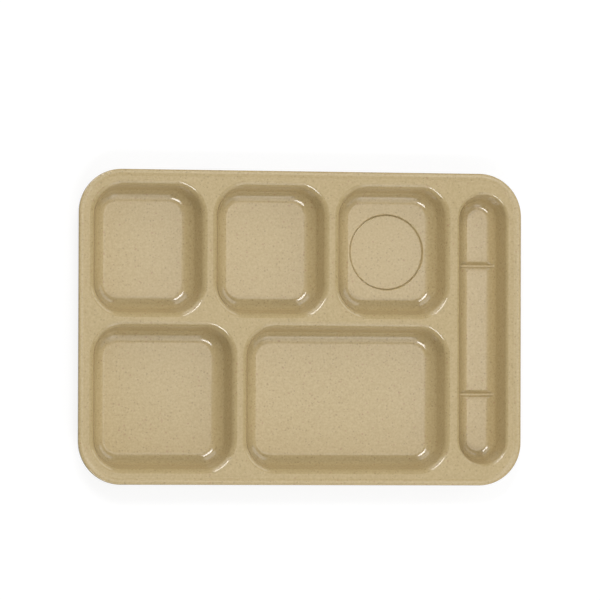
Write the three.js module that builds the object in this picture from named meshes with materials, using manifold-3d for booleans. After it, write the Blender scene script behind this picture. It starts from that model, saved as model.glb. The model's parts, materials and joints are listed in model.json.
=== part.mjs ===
// A six-compartment serving tray, compression-moulded in one piece from a speckled plastic.
// Millimetres, +Z up. The origin is on the table, under the middle of the tray's outline.
// +X runs along the tray towards the cutlery slot, +Y towards the row of three small pans.

import * as THREE from 'three';
import { mergeVertices } from 'three/addons/utils/BufferGeometryUtils.js';
import Module from 'manifold-3d';

// The tray as a whole
const LENGTH = 368;
const WIDTH = 254;
const HEIGHT = 25.4;
const WALL = 3;
const CORNER_RADIUS = 35;

// The lip that stands up round the edge of the deck
const LIP_RISE = 0.5;
const LIP_CREST = 2.8;
const LIP_SLOPE = 3.2;
const EDGE_RADIUS = 1;

// The layout of the pans, taken where their sides would meet the deck in a sharp edge
const MARGIN = 12;
const DIVIDER = 10.5;
const ROW_DIVIDER = 9.4;
const REAR_ROW_WIDTH = 104.2;
const SQUARE_PAN_LENGTH = 115.8;
const SLOT_WIDTH = 40;
const SLOT_END_MARGIN = 17;

// The section of the pans: sides that lean out, a round edge at the deck, a wide fillet at the floor.
// The slot's rounds are tighter.
const DRAFT = THREE.MathUtils.degToRad(15);
const DECK_ROUND = 5;
const FLOOR_FILLET = 10;
const FLOOR_CORNER_RADIUS = 11;
const SLOT_DECK_ROUND = 3;
const SLOT_FLOOR_FILLET = 8;

// The round recess that holds a cup, in the floor of the small pan beside the slot
const CUP_DIAMETER = 62;
const CUP_RECESS = 1.2;
const CUP_SIDE_RUN = 0.8;

// The two low ribs across the slot
const RIB_SPACING = 105;
const RIB_HEIGHT = 3.5;
const RIB_BASE = 7.5;
const RIB_CREST_RADIUS = 1.2;

// How finely the round forms are faceted
const CORNER_STEPS = 9;
const EDGE_STEPS = 2;
const DECK_ROUND_STEPS = 3;
const FLOOR_FILLET_STEPS = 4;
const RIB_STEPS = 4;
const CUP_STEPS = 56;

// Levels
const DECK = HEIGHT - LIP_RISE;
const FLOOR = WALL;
const DECK_UNDERSIDE = DECK - WALL;

// How far a round between a side and a level face reaches from the sharp edge, as a share of its radius
const TANGENT = Math.tan((Math.PI / 2 - DRAFT) / 2);

// How far the flat floor of a pan with this fillet is set in from the sharp edge at the deck
function floorInset(fillet) {
  return (DECK - FLOOR) * Math.tan(DRAFT) + fillet * TANGENT;
}

const PAN_CORNER_RADIUS = FLOOR_CORNER_RADIUS + floorInset(FLOOR_FILLET);

const wasm = await Module();
wasm.setup();

// Turns a closed geometry into a solid that can be joined and cut.
function solidOf(geometry) {
  const bare = geometry.clone();
  bare.deleteAttribute('normal');
  bare.deleteAttribute('uv');
  const merged = mergeVertices(bare);
  const mesh = new wasm.Mesh({
    numProp: 3,
    vertProperties: Float32Array.from(merged.attributes.position.array),
    triVerts: Uint32Array.from(merged.index.array),
  });
  return new wasm.Manifold(mesh);
}

// Turns a solid back into a geometry with flat facets.
function geometryOf(solid) {
  const mesh = solid.getMesh();
  const geometry = new THREE.BufferGeometry();
  geometry.setAttribute('position', new THREE.BufferAttribute(mesh.vertProperties, mesh.numProp));
  geometry.setIndex(new THREE.BufferAttribute(mesh.triVerts, 1));
  const flat = geometry.toNonIndexed();
  flat.computeVertexNormals();
  return flat;
}

// Points of a circular arc in a section, as (inset, height), with both ends.
function sectionArc(inset, height, radius, startAngle, endAngle, steps) {
  const points = [];
  for (let step = 0; step <= steps; step++) {
    const angle = THREE.MathUtils.lerp(startAngle, endAngle, step / steps);
    points.push(new THREE.Vector2(inset + radius * Math.cos(angle), height + radius * Math.sin(angle)));
  }
  return points;
}

// A rectangle with round corners, counter-clockwise seen from above. Where the corners meet in a full round
// end, the point that they share is kept once.
function roundedOutline(length, width, radius) {
  const points = [];
  for (let quarter = 0; quarter < 4; quarter++) {
    const middle = (quarter + 0.5) * Math.PI / 2;
    const centreX = Math.sign(Math.cos(middle)) * (length / 2 - radius);
    const centreY = Math.sign(Math.sin(middle)) * (width / 2 - radius);
    for (let step = 0; step <= CORNER_STEPS; step++) {
      const angle = (quarter + step / CORNER_STEPS) * Math.PI / 2;
      points.push(new THREE.Vector2(centreX + radius * Math.cos(angle), centreY + radius * Math.sin(angle)));
    }
  }
  const sameSpot = 1e-6;
  return points.filter((point, i) => point.distanceTo(points[(i + 1) % points.length]) > sameSpot);
}

// Sweeps a section round a rounded rectangle. Each section point gives one ring, set in by its inset, and the
// first and last rings are closed with flat caps. The section runs so that the solid lies on its left.
function sweptSolid(plan, section) {
  const rings = section.map((point) => roundedOutline(
    plan.length - 2 * point.x, plan.width - 2 * point.x, plan.radius - point.x));
  const count = rings[0].length;
  const positions = [];
  rings.forEach((ring, level) => {
    ring.forEach((spot) => positions.push(plan.x + spot.x, plan.y + spot.y, section[level].y));
  });
  const triangles = [];
  for (let level = 0; level + 1 < rings.length; level++) {
    for (let i = 0; i < count; i++) {
      const here = level * count + i;
      const next = level * count + (i + 1) % count;
      triangles.push(here, next, next + count, here, next + count, here + count);
    }
  }
  const last = (rings.length - 1) * count;
  for (let i = 1; i + 1 < count; i++) {
    triangles.push(0, i + 1, i);
    triangles.push(last, last + i, last + i + 1);
  }
  const geometry = new THREE.BufferGeometry();
  geometry.setAttribute('position', new THREE.Float32BufferAttribute(positions, 3));
  geometry.setIndex(triangles);
  return solidOf(geometry);
}

// The deck: a flat sheet whose edge is rounded and carries the raised lip.
function deckSolid() {
  const plan = { x: 0, y: 0, length: LENGTH, width: WIDTH, radius: CORNER_RADIUS };
  const lowerEdge = sectionArc(
    EDGE_RADIUS, DECK_UNDERSIDE + EDGE_RADIUS, EDGE_RADIUS, -Math.PI / 2, -Math.PI, EDGE_STEPS);
  const upperEdge = sectionArc(
    EDGE_RADIUS, HEIGHT - EDGE_RADIUS, EDGE_RADIUS, Math.PI, Math.PI / 2, EDGE_STEPS);
  const crestEnd = new THREE.Vector2(LIP_CREST, HEIGHT);
  const slopeFoot = new THREE.Vector2(LIP_CREST + LIP_SLOPE, DECK);
  return sweptSolid(plan, [...lowerEdge, ...upperEdge, crestEnd, slopeFoot]);
}

// The bend between a pan's floor and its side, as (inset, height), for the fillet or a surface outside it.
function floorBend(plan, radius) {
  return sectionArc(floorInset(plan.floorFillet), FLOOR + plan.floorFillet, radius,
    -Math.PI / 2, -Math.PI + DRAFT, FLOOR_FILLET_STEPS);
}

// The outside of a pan, one wall thickness outside the hollow. It ends inside the deck that it hangs from.
function panOutside(plan) {
  const top = DECK - WALL / 2;
  const topInset = (DECK - top) * Math.tan(DRAFT) - WALL / Math.cos(DRAFT);
  return sweptSolid(plan, [...floorBend(plan, plan.floorFillet + WALL), new THREE.Vector2(topInset, top)]);
}

// The hollow of a pan. It goes on straight up from the round edge, past the crest of the lip.
function panHollow(plan) {
  const mouthInset = -plan.deckRound * TANGENT;
  const deckBend = sectionArc(
    mouthInset, DECK - plan.deckRound, plan.deckRound, DRAFT, Math.PI / 2, DECK_ROUND_STEPS);
  const above = new THREE.Vector2(mouthInset, HEIGHT + LIP_RISE);
  return sweptSolid(plan, [...floorBend(plan, plan.floorFillet), ...deckBend, above]);
}

// A rib across the slot: a ridge with a round crest and hollow flanks that run out on the floor. Its ends are
// cut by the outside of the slot, so they die into the sides.
function ribSolid(slot, y) {
  const shape = new THREE.Shape();
  const half = RIB_BASE / 2;
  const sunk = FLOOR - WALL / 2;
  const crestTop = FLOOR + RIB_HEIGHT;
  const shoulder = crestTop - RIB_CREST_RADIUS;
  shape.moveTo(-half, sunk);
  shape.lineTo(half, sunk);
  shape.lineTo(half, FLOOR);
  shape.quadraticCurveTo(RIB_CREST_RADIUS, FLOOR, RIB_CREST_RADIUS, shoulder);
  shape.absarc(0, shoulder, RIB_CREST_RADIUS, 0, Math.PI, false);
  shape.quadraticCurveTo(-RIB_CREST_RADIUS, FLOOR, -half, FLOOR);
  const across = { depth: slot.length, curveSegments: RIB_STEPS, bevelEnabled: false };
  const bar = new THREE.ExtrudeGeometry(shape, across);
  bar.rotateX(Math.PI / 2);
  bar.rotateZ(Math.PI / 2);
  bar.translate(slot.x - slot.length / 2, y, 0);
  return solidOf(bar).intersect(panOutside(slot));
}

// The cup recess, a shallow round step in the floor of its pan. Its side leans out, and has the full diameter
// where it meets the floor.
function cupRecess(pan) {
  const radius = CUP_DIAMETER / 2;
  const disc = new THREE.CylinderGeometry(
    radius + CUP_SIDE_RUN, radius - CUP_SIDE_RUN, 2 * CUP_RECESS, CUP_STEPS);
  disc.rotateX(Math.PI / 2);
  disc.translate(pan.x, pan.y, FLOOR);
  return solidOf(disc);
}

// A pan's plan from its left and front edges, with the radii of its mouth and of its floor's fillet.
function panPlan(left, front, length, width, radius, deckRound, floorFillet) {
  return { x: left + length / 2, y: front + width / 2, length, width, radius, deckRound, floorFillet };
}

// A pan with the corners and rounds that all but the slot have
function foodPan(left, front, length, width) {
  return panPlan(left, front, length, width, PAN_CORNER_RADIUS, DECK_ROUND, FLOOR_FILLET);
}

// Plans of the six pans
const left = -LENGTH / 2 + MARGIN;
const front = -WIDTH / 2 + MARGIN;
const slotLeft = LENGTH / 2 - MARGIN - SLOT_WIDTH;
const slot = panPlan(slotLeft, -WIDTH / 2 + SLOT_END_MARGIN, SLOT_WIDTH, WIDTH - 2 * SLOT_END_MARGIN,
  SLOT_WIDTH / 2, SLOT_DECK_ROUND, SLOT_FLOOR_FILLET);

const rearRowFront = WIDTH / 2 - MARGIN - REAR_ROW_WIDTH;
const smallPanLength = (slotLeft - left - 3 * DIVIDER) / 3;
const smallPanPitch = smallPanLength + DIVIDER;
const smallPans = [0, 1, 2].map((place) => foodPan(
  left + place * smallPanPitch, rearRowFront, smallPanLength, REAR_ROW_WIDTH));

const frontRowWidth = rearRowFront - ROW_DIVIDER - front;
const squarePan = foodPan(left, front, SQUARE_PAN_LENGTH, frontRowWidth);
const longPanLeft = left + SQUARE_PAN_LENGTH + DIVIDER;
const longPan = foodPan(longPanLeft, front, slotLeft - DIVIDER - longPanLeft, frontRowWidth);

const pans = [...smallPans, squarePan, longPan, slot];
const cupPan = smallPans[smallPans.length - 1];

// The moulding: deck and pans joined, hollowed out, with the ribs added and the cup recess sunk in
let moulding = deckSolid();
for (const pan of pans) {
  moulding = moulding.add(panOutside(pan));
}
for (const pan of pans) {
  moulding = moulding.subtract(panHollow(pan));
}
for (const side of [-1, 1]) {
  moulding = moulding.add(ribSolid(slot, slot.y + side * RIB_SPACING / 2));
}
moulding = moulding.subtract(cupRecess(cupPan));

const tan = new THREE.MeshStandardMaterial({ color: '#c7b38c', roughness: 0.3, metalness: 0 });
const tray = new THREE.Mesh(geometryOf(moulding), tan);
tray.name = 'tray';

const compartmentTray = new THREE.Group();
compartmentTray.add(tray);

export default compartmentTray;
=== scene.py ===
import json
import math

import bmesh
import bpy
from mathutils import Matrix, Vector

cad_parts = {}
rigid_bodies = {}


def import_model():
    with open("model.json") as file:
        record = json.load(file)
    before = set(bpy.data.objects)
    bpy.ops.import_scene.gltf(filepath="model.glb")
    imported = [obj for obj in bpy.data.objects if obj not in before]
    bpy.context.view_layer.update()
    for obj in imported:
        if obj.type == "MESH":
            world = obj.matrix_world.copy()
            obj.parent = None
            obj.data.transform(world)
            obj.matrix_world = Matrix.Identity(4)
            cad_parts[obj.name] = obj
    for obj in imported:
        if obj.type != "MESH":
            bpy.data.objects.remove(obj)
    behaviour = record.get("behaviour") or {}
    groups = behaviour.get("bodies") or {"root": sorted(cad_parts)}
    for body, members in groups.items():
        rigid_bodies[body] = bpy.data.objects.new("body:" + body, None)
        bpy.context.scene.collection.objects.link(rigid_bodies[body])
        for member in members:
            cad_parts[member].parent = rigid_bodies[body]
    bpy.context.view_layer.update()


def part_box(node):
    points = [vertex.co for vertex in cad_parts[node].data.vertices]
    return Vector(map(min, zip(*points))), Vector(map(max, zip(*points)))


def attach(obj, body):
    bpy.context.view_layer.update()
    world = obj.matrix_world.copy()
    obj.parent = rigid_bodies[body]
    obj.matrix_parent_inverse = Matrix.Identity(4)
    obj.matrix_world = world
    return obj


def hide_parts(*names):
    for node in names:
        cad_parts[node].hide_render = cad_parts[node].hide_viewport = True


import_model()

# The tray's upper face
# The tray is one piece of speckled melamine, pressed hot between a punch and a die. The punch makes the
# face that shows: a flat deck with a raised lip round it, and six pans with leaning sides, each with a
# round edge at the deck and a wide fillet at its floor.
MM = 0.001
low, high = (Vector(corner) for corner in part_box("tray"))
tray_length, tray_width, tray_height = high - low

WALL = 3 * MM
CORNER_RADIUS = 35 * MM
LIP_RISE = 0.5 * MM
LIP_CREST = 2.8 * MM
LIP_SLOPE = 3.2 * MM
MARGIN = 12 * MM
DIVIDER = 10.5 * MM
ROW_DIVIDER = 9.4 * MM
REAR_ROW_WIDTH = 104.2 * MM
SQUARE_PAN_LENGTH = 115.8 * MM
SLOT_WIDTH = 40 * MM
SLOT_END_MARGIN = 17 * MM
DRAFT = math.radians(15)
DECK_ROUND = 5 * MM
FLOOR_FILLET = 10 * MM
FLOOR_CORNER_RADIUS = 11 * MM
SLOT_DECK_ROUND = 3 * MM
SLOT_FLOOR_FILLET = 8 * MM
LIP_EASE = 0.7 * MM
UNDERSIDE_FILLET = 0.8 * MM

CORNER_STEPS = 20
DECK_ROUND_STEPS = 8
FLOOR_FILLET_STEPS = 14
FLAT_BORDER = 0.4 * MM
SAME_PLACE = 0.005 * MM

deck = tray_height - LIP_RISE
floor = WALL
pan_depth = deck - floor
side_run = pan_depth * math.tan(DRAFT)
tangent = math.tan((math.pi / 2 - DRAFT) / 2)
pan_corner = FLOOR_CORNER_RADIUS + side_run + FLOOR_FILLET * tangent


def pan_plan(left, front, length, width, corner, mouth_round, floor_round):
    """A pan's middle, size and corner radius where its sides would meet the deck in a sharp edge, and the
    radii of its mouth and of its floor's fillet."""
    return {"x": left + length / 2, "y": front + width / 2, "length": length, "width": width,
            "corner": corner, "mouth_round": mouth_round, "floor_round": floor_round}


left = -tray_length / 2 + MARGIN
front = -tray_width / 2 + MARGIN
slot_left = tray_length / 2 - MARGIN - SLOT_WIDTH
slot_front = -tray_width / 2 + SLOT_END_MARGIN
slot = pan_plan(slot_left, slot_front, SLOT_WIDTH, -2 * slot_front, SLOT_WIDTH / 2,
                SLOT_DECK_ROUND, SLOT_FLOOR_FILLET)

rear_row_front = tray_width / 2 - MARGIN - REAR_ROW_WIDTH
small_length = (slot_left - left - 3 * DIVIDER) / 3
small_pans = [
    pan_plan(left + place * (small_length + DIVIDER), rear_row_front, small_length, REAR_ROW_WIDTH,
             pan_corner, DECK_ROUND, FLOOR_FILLET)
    for place in range(3)
]
front_row_width = rear_row_front - ROW_DIVIDER - front
square_pan = pan_plan(left, front, SQUARE_PAN_LENGTH, front_row_width, pan_corner, DECK_ROUND, FLOOR_FILLET)
long_left = left + SQUARE_PAN_LENGTH + DIVIDER
long_pan = pan_plan(long_left, front, slot_left - DIVIDER - long_left, front_row_width, pan_corner,
                    DECK_ROUND, FLOOR_FILLET)
pans = small_pans + [square_pan, long_pan, slot]


def at_level(vertices, level):
    """Whether all these vertices lie at one height."""
    return all(abs(vertex.co.z - level) < SAME_PLACE for vertex in vertices)


def pick_edges(test):
    """Selects just the edges of the mesh in edit mode that pass a test."""
    bpy.ops.mesh.select_mode(type="EDGE")
    bpy.ops.mesh.select_all(action="DESELECT")
    shape = bmesh.from_edit_mesh(bpy.context.object.data)
    for edge in [edge for edge in shape.edges if test(edge)]:
        edge.select_set(True)
    bmesh.update_edit_mesh(bpy.context.object.data)


def pick_faces(test):
    """Selects just the faces of the mesh in edit mode that pass a test."""
    bpy.ops.mesh.select_mode(type="FACE")
    bpy.ops.mesh.select_all(action="DESELECT")
    shape = bmesh.from_edit_mesh(bpy.context.object.data)
    for face in [face for face in shape.faces if test(face)]:
        face.select_set(True)
    bmesh.update_edit_mesh(bpy.context.object.data)


def add_plate(x, y, z, length, width, corner):
    """Adds a flat plate with round corners to the mesh in edit mode, and leaves it selected."""
    bpy.ops.mesh.select_mode(type="VERT")
    bpy.ops.mesh.select_all(action="DESELECT")
    bpy.ops.mesh.primitive_plane_add(size=1, location=(x, y, z))
    bpy.ops.transform.resize(value=(length, width, 1), center_override=(x, y, z))
    bpy.ops.mesh.bevel(offset=corner, segments=CORNER_STEPS, affect="VERTICES", clamp_overlap=False)
    bpy.ops.mesh.select_linked()
    bpy.ops.mesh.remove_doubles(threshold=SAME_PLACE)
    bpy.ops.mesh.select_linked()


def by_pan(pan, element):
    """Whether an edge or a face lies in a pan or on its mouth."""
    reach = Vector((pan["length"] + ROW_DIVIDER, pan["width"] + ROW_DIVIDER)) / 2
    return all(abs(vertex.co.x - pan["x"]) < reach.x and abs(vertex.co.y - pan["y"]) < reach.y
               for vertex in element.verts)


def press_pans(level, wall):
    """Sinks the six pans into a mould face whose deck is at this level. The underside's pans are larger by
    the wall, and the fillets at their mouths come later. The deck between the pans is left open."""
    for pan in pans:
        mouth_round = 0 if wall else pan["mouth_round"]
        border = (UNDERSIDE_FILLET if wall else mouth_round * tangent) + FLAT_BORDER
        grow = wall * tangent + border
        add_plate(pan["x"], pan["y"], level, pan["length"] + 2 * grow, pan["width"] + 2 * grow,
                  pan["corner"] + grow)
        bpy.ops.mesh.inset(thickness=border)
        bpy.ops.mesh.inset(thickness=side_run, depth=-pan_depth)
        pick_edges(lambda edge: at_level(edge.verts, level - pan_depth) and by_pan(pan, edge))
        bpy.ops.mesh.bevel(offset=(pan["floor_round"] + wall) * tangent, segments=FLOOR_FILLET_STEPS,
                           affect="EDGES", clamp_overlap=False)
        pick_faces(lambda face: at_level(face.verts, level - pan_depth) and by_pan(pan, face))
        bpy.ops.mesh.inset(thickness=FLAT_BORDER)
        if mouth_round:
            pick_edges(lambda edge: at_level(edge.verts, level) and by_pan(pan, edge)
                       and edge.calc_face_angle(0) > DRAFT)
            bpy.ops.mesh.bevel(offset=mouth_round * tangent, segments=DECK_ROUND_STEPS, affect="EDGES",
                               clamp_overlap=False)


def fill_deck(level):
    """Fills the flat deck between the rim and the mouths of the pans."""
    pick_edges(lambda edge: at_level(edge.verts, level) and edge.is_boundary)
    bpy.ops.mesh.fill(use_beauty=True)


bpy.ops.object.select_all(action="DESELECT")
bpy.ops.mesh.primitive_plane_add(size=1)
tray = bpy.context.object
tray.name = "tray_moulding"
bpy.ops.object.mode_set(mode="EDIT")
bpy.ops.mesh.delete(type="VERT")

press_pans(deck, 0)
add_plate(0, 0, tray_height, tray_length, tray_width, CORNER_RADIUS)
bpy.ops.mesh.inset(thickness=LIP_CREST)
bpy.ops.mesh.inset(thickness=LIP_SLOPE, depth=-LIP_RISE)
bpy.ops.mesh.inset(thickness=LIP_EASE + FLAT_BORDER)
bpy.ops.mesh.delete(type="ONLY_FACE")
fill_deck(deck)

# The cup recess
# A shallow round step pressed into the floor of the small pan beside the slot, where a cup stands. The
# round insert that presses it is let into the punch, and its edge leaves a fine groove round the foot of
# the step. The groove is drawn deeper than a real one, so that it shows as a dark ring.
CUP_DIAMETER = 62 * MM
CUP_RECESS = 1.2 * MM
CUP_SIDE_RUN = 0.5 * MM
CUP_GROOVE_WIDTH = 0.6 * MM
CUP_GROOVE_DEPTH = 1.1 * MM
CUP_STEPS = 96
cup_pan = small_pans[-1]

pick_faces(lambda face: at_level(face.verts, floor) and by_pan(cup_pan, face) and len(face.verts) > 4)
bpy.ops.mesh.delete(type="ONLY_FACE")
bpy.ops.mesh.primitive_circle_add(
    vertices=CUP_STEPS, radius=CUP_DIAMETER / 2 + FLAT_BORDER, fill_type="NGON",
    location=(cup_pan["x"], cup_pan["y"], floor))
pick_edges(lambda edge: at_level(edge.verts, floor) and edge.is_boundary)
bpy.ops.mesh.fill(use_beauty=True)
pick_faces(lambda face: at_level(face.verts, floor) and len(face.verts) == CUP_STEPS)
bpy.ops.mesh.inset(thickness=FLAT_BORDER)
bpy.ops.mesh.inset(thickness=CUP_SIDE_RUN, depth=-CUP_RECESS)
bpy.ops.mesh.inset(thickness=CUP_GROOVE_WIDTH / 2, depth=-CUP_GROOVE_DEPTH)
bpy.ops.mesh.inset(thickness=CUP_GROOVE_WIDTH / 2, depth=CUP_GROOVE_DEPTH)
bpy.ops.mesh.inset(thickness=FLAT_BORDER)

# The slot's ribs
# Two low ridges across the cutlery slot, part of the same pressing. They lift the cutlery off the floor
# so that fingers get under it. Their ends run out on the round sides of the slot.
RIB_SPACING = 105 * MM
RIB_HEIGHT = 3.5 * MM
RIB_BASE = 7.5 * MM
RIB_CREST_RADIUS = 1.2 * MM
RIB_FLANK = math.radians(75)
RIB_BLEND = 1.5 * MM
RIB_CUTS = 14
rib_foot_radius = ((RIB_BASE / 2 - RIB_HEIGHT / math.tan(RIB_FLANK)) / math.tan(RIB_FLANK / 2)
                   - RIB_CREST_RADIUS)
rib_crest_end = RIB_CREST_RADIUS * math.sin(RIB_FLANK)
rib_foot_start = RIB_BASE / 2 - rib_foot_radius * math.sin(RIB_FLANK)


def rib_height(offset):
    """How high the rib stands at this distance from its middle: a round crest, flanks and hollow feet."""
    if offset < rib_crest_end:
        return RIB_HEIGHT - RIB_CREST_RADIUS + math.sqrt(RIB_CREST_RADIUS ** 2 - offset ** 2)
    if offset < rib_foot_start:
        return rib_height(rib_foot_start) + (rib_foot_start - offset) * math.tan(RIB_FLANK)
    return rib_foot_radius - math.sqrt(rib_foot_radius ** 2 - max(RIB_BASE / 2 - offset, 0) ** 2)


def blended_top(one, other, blend):
    """The higher of two heights, with the crease between them rounded."""
    share = min(max(0.5 + (other - one) / (2 * blend), 0), 1)
    return one + (other - one) * share + blend * share * (1 - share)


for rib_y in (-RIB_SPACING / 2, RIB_SPACING / 2):
    for step in range(-RIB_CUTS, RIB_CUTS + 1):
        cut_y = rib_y + math.copysign(RIB_BASE / 2 * (step / RIB_CUTS) ** 2, step)
        pick_faces(lambda face: by_pan(slot, face) and all(vertex.co.z < deck - SLOT_DECK_ROUND
                                                           for vertex in face.verts))
        bpy.ops.mesh.bisect(plane_co=(0, cut_y, 0), plane_no=(0, 1, 0))
    shape = bmesh.from_edit_mesh(tray.data)
    for vertex in shape.verts:
        offset = abs(vertex.co.y - rib_y)
        above = vertex.co.z - floor
        if vertex.co.x > slot_left and offset < RIB_BASE / 2 and above < RIB_HEIGHT + RIB_BLEND:
            blend = max(RIB_BLEND * above / RIB_HEIGHT, SAME_PLACE)
            vertex.co.z = floor + blended_top(above, rib_height(offset), blend)
    bmesh.update_edit_mesh(tray.data)

# The underside and the edge
# The die makes the underside, one wall thickness from the upper face all over, so the dividers are hollow
# below. The flash round the edge is ground off, and the edge and the lip are eased.
EDGE_RADIUS = 1 * MM
EDGE_STEPS = 5
LIP_EASE_STEPS = 4
LIP_TURN = (7, 60)
EDGE_TURN = (60, 120)
RIM_UNDERSIDE_TURN = (80, 120)
PAN_UNDERSIDE_TURN = (60, 80)
deck_underside = deck - WALL


def ease_edges(level, turn, offset, steps):
    """Rounds the edges at one level where the surface turns by an angle in this range, in degrees."""
    least_turn, most_turn = turn
    pick_edges(lambda edge: at_level(edge.verts, level)
               and least_turn < math.degrees(edge.calc_face_angle(0)) < most_turn)
    bpy.ops.mesh.bevel(offset=offset, segments=steps, affect="EDGES", clamp_overlap=False)


pick_edges(lambda edge: edge.is_boundary)
bpy.ops.mesh.extrude_edges_move(TRANSFORM_OT_translate={"value": (0, 0, deck_underside - tray_height)})
bpy.ops.mesh.edge_face_add()
bpy.ops.mesh.inset(thickness=EDGE_RADIUS + FLAT_BORDER)
bpy.ops.mesh.delete(type="ONLY_FACE")
press_pans(deck_underside, WALL)
fill_deck(deck_underside)
bpy.ops.mesh.select_all(action="SELECT")
bpy.ops.mesh.normals_make_consistent(inside=False)

ease_edges(tray_height, LIP_TURN, LIP_EASE, LIP_EASE_STEPS)
ease_edges(deck, LIP_TURN, LIP_EASE, LIP_EASE_STEPS)
ease_edges(tray_height, EDGE_TURN, EDGE_RADIUS, EDGE_STEPS)
ease_edges(deck_underside, RIM_UNDERSIDE_TURN, EDGE_RADIUS, EDGE_STEPS)
ease_edges(deck_underside, PAN_UNDERSIDE_TURN, UNDERSIDE_FILLET, LIP_EASE_STEPS)
bpy.ops.object.mode_set(mode="OBJECT")
bpy.ops.object.shade_smooth()
bpy.ops.object.modifier_add(type="WEIGHTED_NORMAL")
bpy.ops.object.modifier_apply(modifier=tray.modifiers[-1].name)

# The moulded melamine
# Melamine resin filled with cellulose, pressed against polished chrome. That gives the eye a hard gloss,
# duller on the deck where trays rub when stacked, over a warm tan body with fine brown and reddish specks
# of coloured filler through its whole thickness. The specks are drawn coarser than real, so that they show.
BODY_TAN = "#b29d70"
BODY_PALE = "#c0ac81"
SPECK_BROWN = "#7a653c"
SPECK_RED = "#a2775a"
MELAMINE_IOR = 1.66
CLOUD = 22 * MM
GRAIN = 1.7 * MM
BROWN_SPECK_SPACING = 2.5 * MM
BROWN_SPECK_RADIUS = 0.95 * MM
BROWN_SPECK_STRENGTH = 0.33
RED_SPECK_SPACING = 4.4 * MM
RED_SPECK_RADIUS = 1.1 * MM
RED_SPECK_STRENGTH = 0.4
SPECK_SOLID_SHARE = 0.6
SPECK_FRAY = 0.7 * MM
FRAY_REACH = 1.6 * SPECK_FRAY
ORANGE_PEEL = 3.5 * MM
ORANGE_PEEL_DEPTH = 0.004 * MM
GLOSS_RANGE = (0.13, 0.18)
DECK_SATIN = 0.28
SATIN_REACH = 0.1 * MM


def linear(code):
    """An sRGB hex colour as linear red, green and blue, with full alpha."""
    channels = [int(code[start:start + 2], 16) / 255 for start in (1, 3, 5)]
    return [value / 12.92 if value <= 0.04045 else ((value + 0.055) / 1.055) ** 2.4
            for value in channels] + [1]


def add_node(tree, kind, settings, inputs):
    """Adds a shader node with its settings, and gives each of its inputs a value or a link."""
    node = tree.nodes.new(kind)
    for name, value in settings.items():
        setattr(node, name, value)
    for name, value in inputs.items():
        if isinstance(value, bpy.types.NodeSocket):
            tree.links.new(value, node.inputs[name])
        else:
            node.inputs[name].default_value = value
    return node


melamine = bpy.data.materials.new("speckled_melamine_moulded")
melamine.use_nodes = True
nodes = melamine.node_tree
shader = nodes.nodes["Principled BSDF"]
place = add_node(nodes, "ShaderNodeTexCoord", {}, {}).outputs["Object"]

clouds = add_node(nodes, "ShaderNodeTexNoise", {}, {"Vector": place, "Scale": 1 / CLOUD, "Detail": 2})
grain = add_node(nodes, "ShaderNodeTexNoise", {}, {"Vector": place, "Scale": 1 / GRAIN, "Detail": 1})
spread = add_node(nodes, "ShaderNodeMapRange", {}, {
    "Value": grain.outputs["Fac"], "From Min": 0.25, "From Max": 0.75})
colour = add_node(nodes, "ShaderNodeMix", {"data_type": "RGBA"}, {
    "Factor": spread.outputs[0], 6: linear(BODY_TAN), 7: linear(BODY_PALE)}).outputs[2]
fray = add_node(nodes, "ShaderNodeTexNoise", {}, {"Vector": place, "Scale": 1 / SPECK_FRAY, "Detail": 2})
frayed = add_node(nodes, "ShaderNodeVectorMath", {"operation": "MULTIPLY_ADD"}, {
    0: fray.outputs["Color"], 1: [FRAY_REACH] * 3, 2: place}).outputs[0]
for spacing, radius, strength, speck in (
        (BROWN_SPECK_SPACING, BROWN_SPECK_RADIUS, BROWN_SPECK_STRENGTH, SPECK_BROWN),
        (RED_SPECK_SPACING, RED_SPECK_RADIUS, RED_SPECK_STRENGTH, SPECK_RED)):
    cells = add_node(nodes, "ShaderNodeTexVoronoi", {}, {"Vector": frayed, "Scale": 1 / spacing})
    chance = add_node(nodes, "ShaderNodeSeparateColor", {}, {"Color": cells.outputs["Color"]})
    reach = add_node(nodes, "ShaderNodeMath", {"operation": "DIVIDE"}, {
        0: cells.outputs["Distance"], 1: chance.outputs[0]})
    cover = add_node(nodes, "ShaderNodeMapRange", {"interpolation_type": "SMOOTHSTEP"}, {
        "Value": reach.outputs[0], "From Min": radius / spacing,
        "From Max": SPECK_SOLID_SHARE * radius / spacing, "To Max": strength})
    colour = add_node(nodes, "ShaderNodeMix", {"data_type": "RGBA"}, {
        "Factor": cover.outputs[0], 6: colour, 7: linear(speck)}).outputs[2]
nodes.links.new(colour, shader.inputs["Base Color"])

peel = add_node(nodes, "ShaderNodeTexNoise", {}, {
    "Vector": place, "Scale": 1 / ORANGE_PEEL, "Detail": 1})
bump = add_node(nodes, "ShaderNodeBump", {}, {
    "Height": peel.outputs["Fac"], "Distance": ORANGE_PEEL_DEPTH})
gloss = add_node(nodes, "ShaderNodeMapRange", {}, {
    "Value": clouds.outputs["Fac"], "To Min": GLOSS_RANGE[0], "To Max": GLOSS_RANGE[1]})
axes = add_node(nodes, "ShaderNodeSeparateXYZ", {}, {"Vector": place})
on_deck = add_node(nodes, "ShaderNodeMath", {"operation": "COMPARE"}, {
    0: axes.outputs["Z"], 1: deck, 2: SATIN_REACH})
satin = add_node(nodes, "ShaderNodeMath", {"operation": "MULTIPLY_ADD"}, {
    0: on_deck.outputs[0], 1: DECK_SATIN, 2: gloss.outputs[0]})
nodes.links.new(bump.outputs[0], shader.inputs["Normal"])
nodes.links.new(satin.outputs[0], shader.inputs["Roughness"])
shader.inputs["IOR"].default_value = MELAMINE_IOR
tray.data.materials.append(melamine)

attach(tray, "root")
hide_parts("tray")

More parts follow.
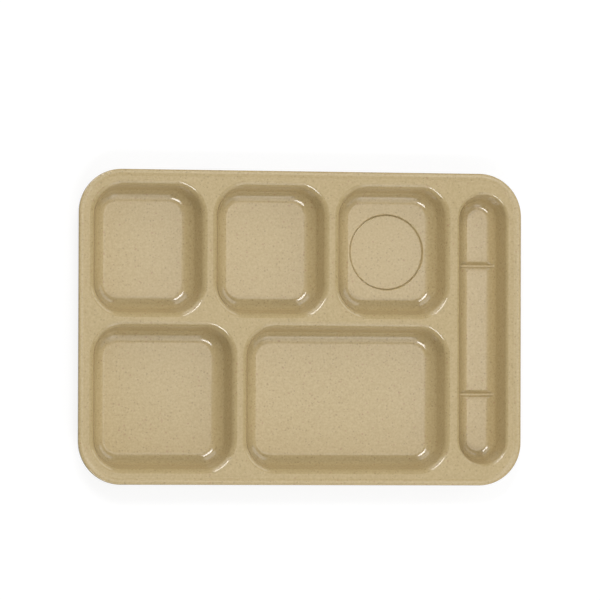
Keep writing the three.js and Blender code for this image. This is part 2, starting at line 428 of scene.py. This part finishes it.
# The studio floor
# A wide sheet of white paper under the tray. The camera sees it as white, and the tray's shadow on it.
FLOOR_SIDE = 8
FLOOR_GAP = 0.3 * MM
PAPER = "#909090"
PAPER_GLOW = 0.78

bpy.ops.object.select_all(action="DESELECT")
bpy.ops.mesh.primitive_plane_add(size=FLOOR_SIDE, location=(0, 0, -FLOOR_GAP))
studio_floor = bpy.context.object
studio_floor.name = "studio_floor"
bpy.ops.object.transform_apply(location=True, rotation=True, scale=True)
paper = bpy.data.materials.new("white_paper")
paper.use_nodes = True
nodes = paper.node_tree
shader = nodes.nodes["Principled BSDF"]
shader.inputs["Base Color"].default_value = linear(PAPER)
shader.inputs["Roughness"].default_value = 1
shader.inputs["Specular IOR Level"].default_value = 0
shader.inputs["Emission Color"].default_value = linear("#ffffff")
ray = add_node(nodes, "ShaderNodeLightPath", {}, {})
mirrored = add_node(nodes, "ShaderNodeMath", {"operation": "MAXIMUM"}, {
    0: ray.outputs["Is Glossy Ray"], 1: ray.outputs["Is Transmission Ray"]})
seen = add_node(nodes, "ShaderNodeMath", {"operation": "MAXIMUM"}, {
    0: ray.outputs["Is Camera Ray"], 1: mirrored.outputs[0]})
glow = add_node(nodes, "ShaderNodeMath", {"operation": "MULTIPLY"}, {0: seen.outputs[0], 1: PAPER_GLOW})
nodes.links.new(glow.outputs[0], shader.inputs["Emission Strength"])
studio_floor.data.materials.append(paper)

# The studio light
# Soft boxes and pale panels overhead, whose reflections lie on the floors and the deck, two brighter soft
# boxes on the left that give the glints in the corners, and large weak panels all round that light the
# sides.
FILL = 0.05


def add_softbox(name, place, aim, width, height, watts):
    """Hangs a soft box at a place, facing the point that it is aimed at."""
    bpy.ops.object.light_add(type="AREA", location=place)
    lamp = bpy.context.object
    lamp.name = name
    lamp.rotation_euler = (Vector(place) - Vector(aim)).to_track_quat("Z", "Y").to_euler()
    lamp.data.shape = "RECTANGLE"
    lamp.data.size = width
    lamp.data.size_y = height
    lamp.data.energy = watts


add_softbox("overhead_softbox", (0.38, 0.095, 1.5), (0.38, 0.095, 0), 0.45, 0.41, 0.97)
add_softbox("overhead_panel", (-0.175, 0.3, 1.55), (-0.175, 0.3, 0), 0.85, 0.7, 1.02)
add_softbox("overhead_strip", (0.545, 0.03, 1.45), (0.545, 0.03, 0), 0.08, 0.4, 0.14)
add_softbox("overhead_front", (0.375, -0.34, 1.48), (0.375, -0.34, 0), 0.6, 0.4, 0.42)
add_softbox("right_panel", (1.15, -0.15, 1.25), (0, 0, 0), 1, 0.7, 0.6)
add_softbox("front_panel", (0.375, -0.87, 0.94), (0.375, 0.566, 0), 0.6, 1.2, 3)
add_softbox("front_right_panel", (1.1, -1.3, 0.6), (0, 0, 0), 1.6, 1.1, 5.3)
add_softbox("front_softbox", (-0.3, -1.1, 1.66), (0, 0, 0), 0.85, 0.4, 13)
add_softbox("rear_softbox", (-0.42, 0.96, 1.74), (0, 0, 0), 0.85, 0.4, 14.5)
add_softbox("rear_panel", (-0.9, 1.65, 0.8), (0, 0, 0), 1.5, 1.4, 11)
add_softbox("rear_right_panel", (1.3, 1, 0.7), (0, 0, 0), 1.5, 1.3, 9)

world = bpy.context.scene.world or bpy.data.worlds.new("studio")
bpy.context.scene.world = world
world.use_nodes = True
nodes = world.node_tree
ray = add_node(nodes, "ShaderNodeLightPath", {}, {})
level = add_node(nodes, "ShaderNodeMapRange", {}, {
    "Value": ray.outputs["Is Camera Ray"], "To Min": FILL, "To Max": 1})
nodes.links.new(level.outputs[0], nodes.nodes["Background"].inputs["Strength"])
nodes.nodes["Background"].inputs["Color"].default_value = linear("#ffffff")

# The camera
# It looks down from almost overhead, a little from the left and the front, from far off.
CAMERA_AIM = Vector((4.55, 23.4, 0)) * MM
CAMERA_TILT = (-0.2405, -0.0265, 1)
CAMERA_UP = Vector((-0.003, 1, 0))
CAMERA_DISTANCE = 5
CAMERA_LENS = 368.9

back = Vector(CAMERA_TILT).normalized()
up = (CAMERA_UP - back * back.dot(CAMERA_UP)).normalized()
bpy.ops.object.camera_add(location=CAMERA_AIM + back * CAMERA_DISTANCE)
camera = bpy.context.object
camera.rotation_euler = Matrix((up.cross(back), up, back)).transposed().to_euler()
camera.data.lens = CAMERA_LENS
bpy.context.scene.camera = camera
bpy.context.scene.view_settings.view_transform = "Standard"
